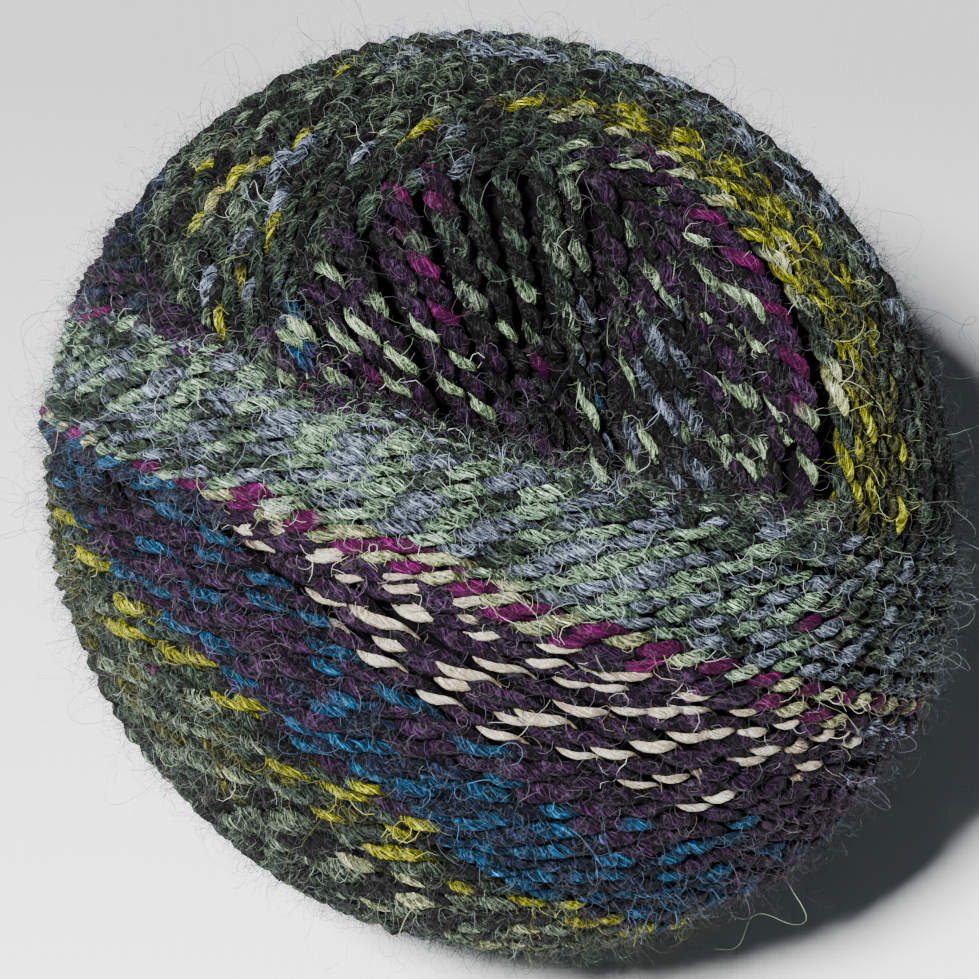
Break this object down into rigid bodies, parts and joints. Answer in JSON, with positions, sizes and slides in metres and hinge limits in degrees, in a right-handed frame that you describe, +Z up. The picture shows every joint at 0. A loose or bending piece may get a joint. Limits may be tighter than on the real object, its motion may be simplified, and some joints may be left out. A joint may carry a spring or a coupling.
{
  "type": "wound ball of yarn",
  "caption": "Hand-wound ball of thick-and-thin plied wool yarn in long colour runs, with crossing swathes of turns, a deep hollow over its winding axis and a small flat spot to rest on.",
  "frame": {"origin": "on the surface that the ball rests on, under the middle of its box", "axes": "+Z up; the swathes wound last cross the side that faces -Y, and the hollow opens up and towards -Y"},
  "size_m": [0.1006, 0.0996, 0.0936],
  "materials": {
    "wool_yarn": "matt, hairy wool, two plies twisted together, dyed in runs of green-grey, plum, blue, mint, magenta, cream and yellow"
  },
  "bodies": {
    "root": {"yarn_ball": "wool_yarn"}
  },
  "joints": []
}
